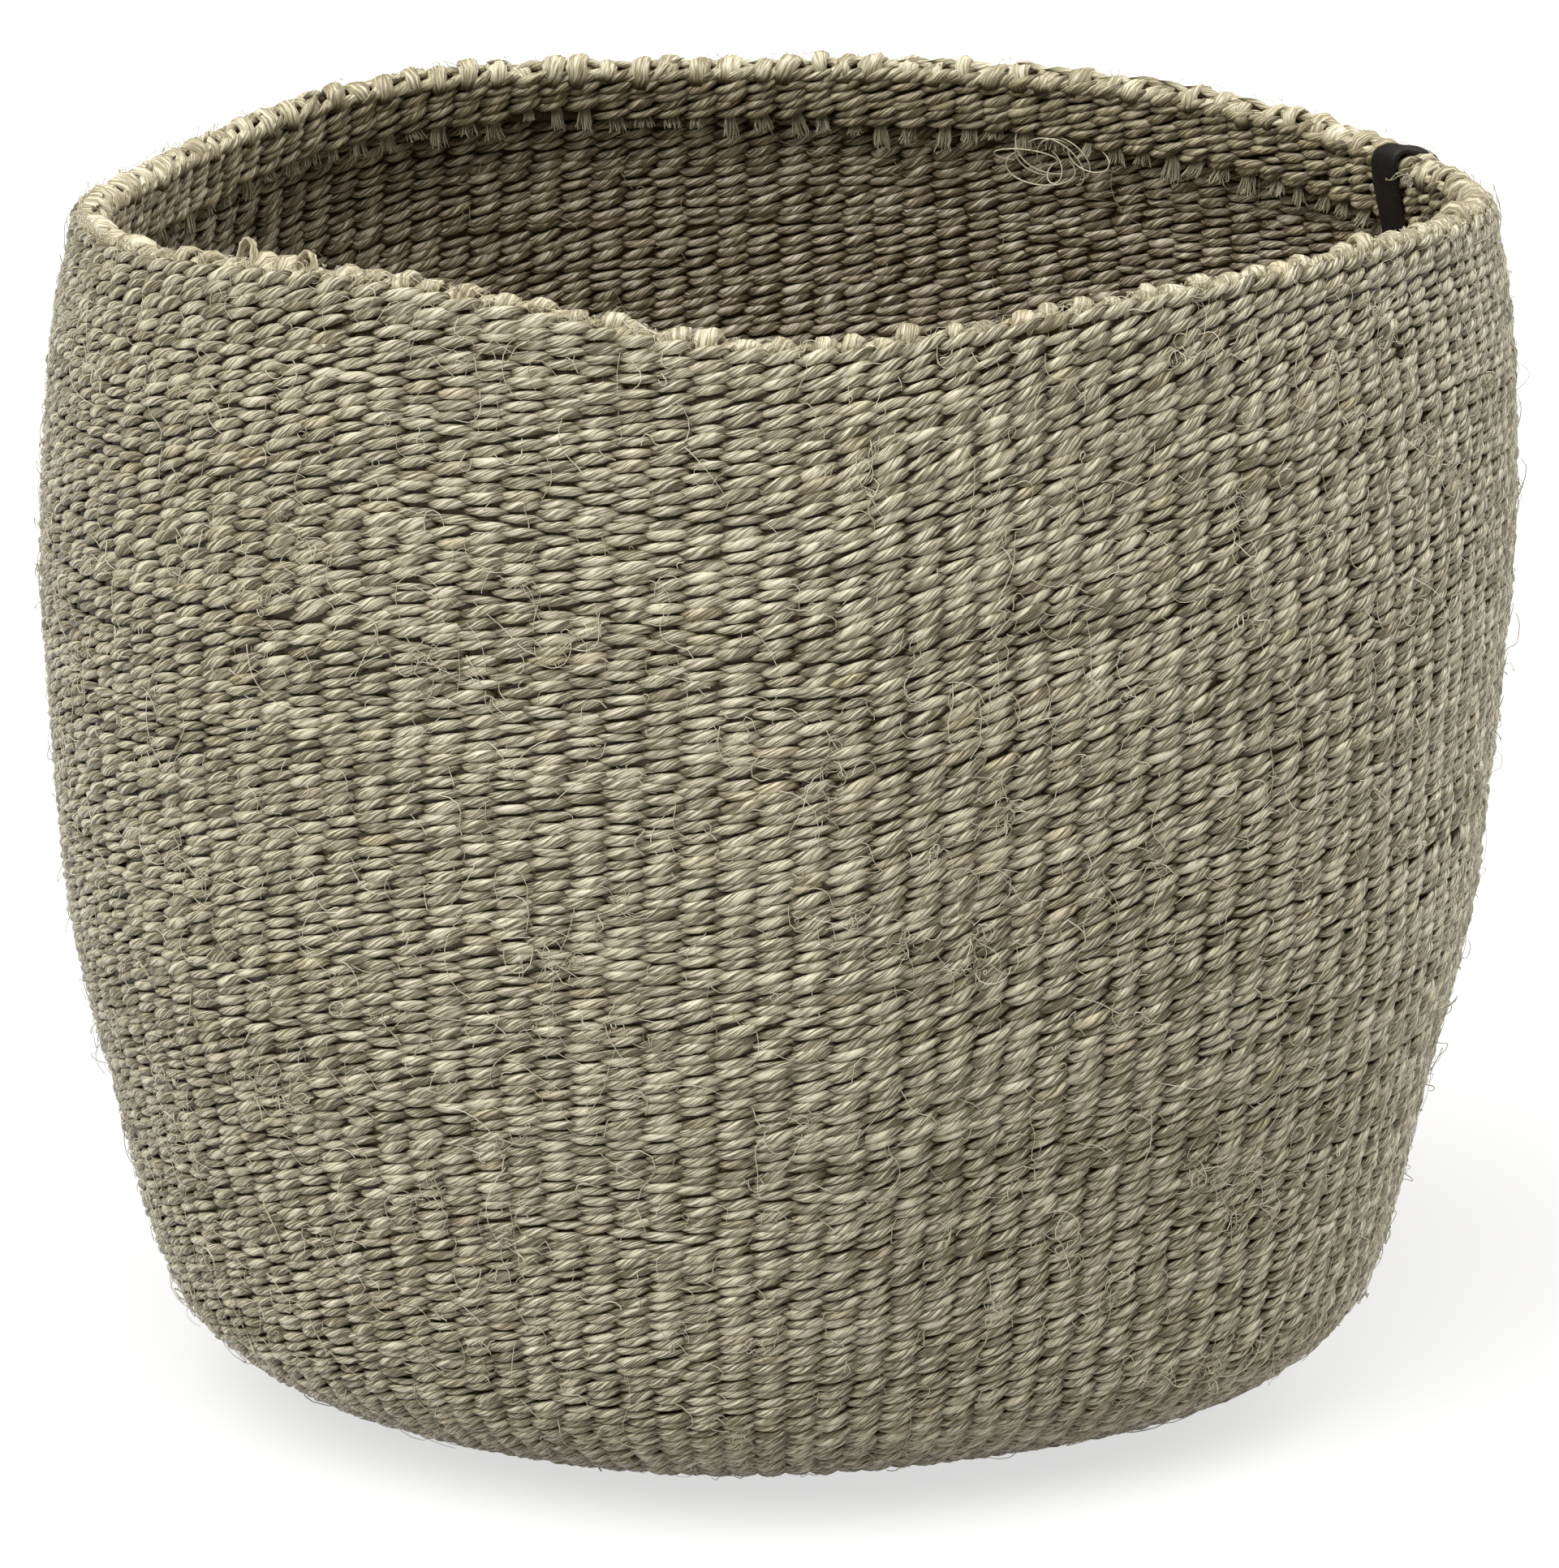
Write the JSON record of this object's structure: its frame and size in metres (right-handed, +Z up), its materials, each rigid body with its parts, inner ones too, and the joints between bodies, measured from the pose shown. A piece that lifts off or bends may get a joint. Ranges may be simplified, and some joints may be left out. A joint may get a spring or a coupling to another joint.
{
  "type": "kiondo basket",
  "caption": "Soft, round, twined sisal floor basket with a bellied wall, a turned-over warp rim, an inner hem and a small leather tab folded over the rim.",
  "frame": {"origin": "on the floor, under the middle of the basket's bounding box", "axes": "+Z up out of the basket's mouth, -Y towards the side that the picture faces, +X to the right of it"},
  "size_m": [0.4396, 0.404, 0.3661],
  "materials": {
    "base_sisal": "twined natural sisal",
    "start_sisal": "bundled natural sisal cord",
    "turn_sisal": "twined natural sisal",
    "wall_sisal": "twined natural sisal",
    "warp_sisal": "pale natural sisal cord",
    "hem_sisal": "twined natural sisal",
    "tab_leather": "black vegetable-tanned leather"
  },
  "bodies": {
    "root": {"base_weave": "base_sisal", "warp_start_cross": "start_sisal", "base_turn_weave": "turn_sisal", "wall_weave": "wall_sisal", "turned_warp_ends": "warp_sisal", "hem_weave": "hem_sisal", "leather_tab": "tab_leather"}
  },
  "joints": []
}
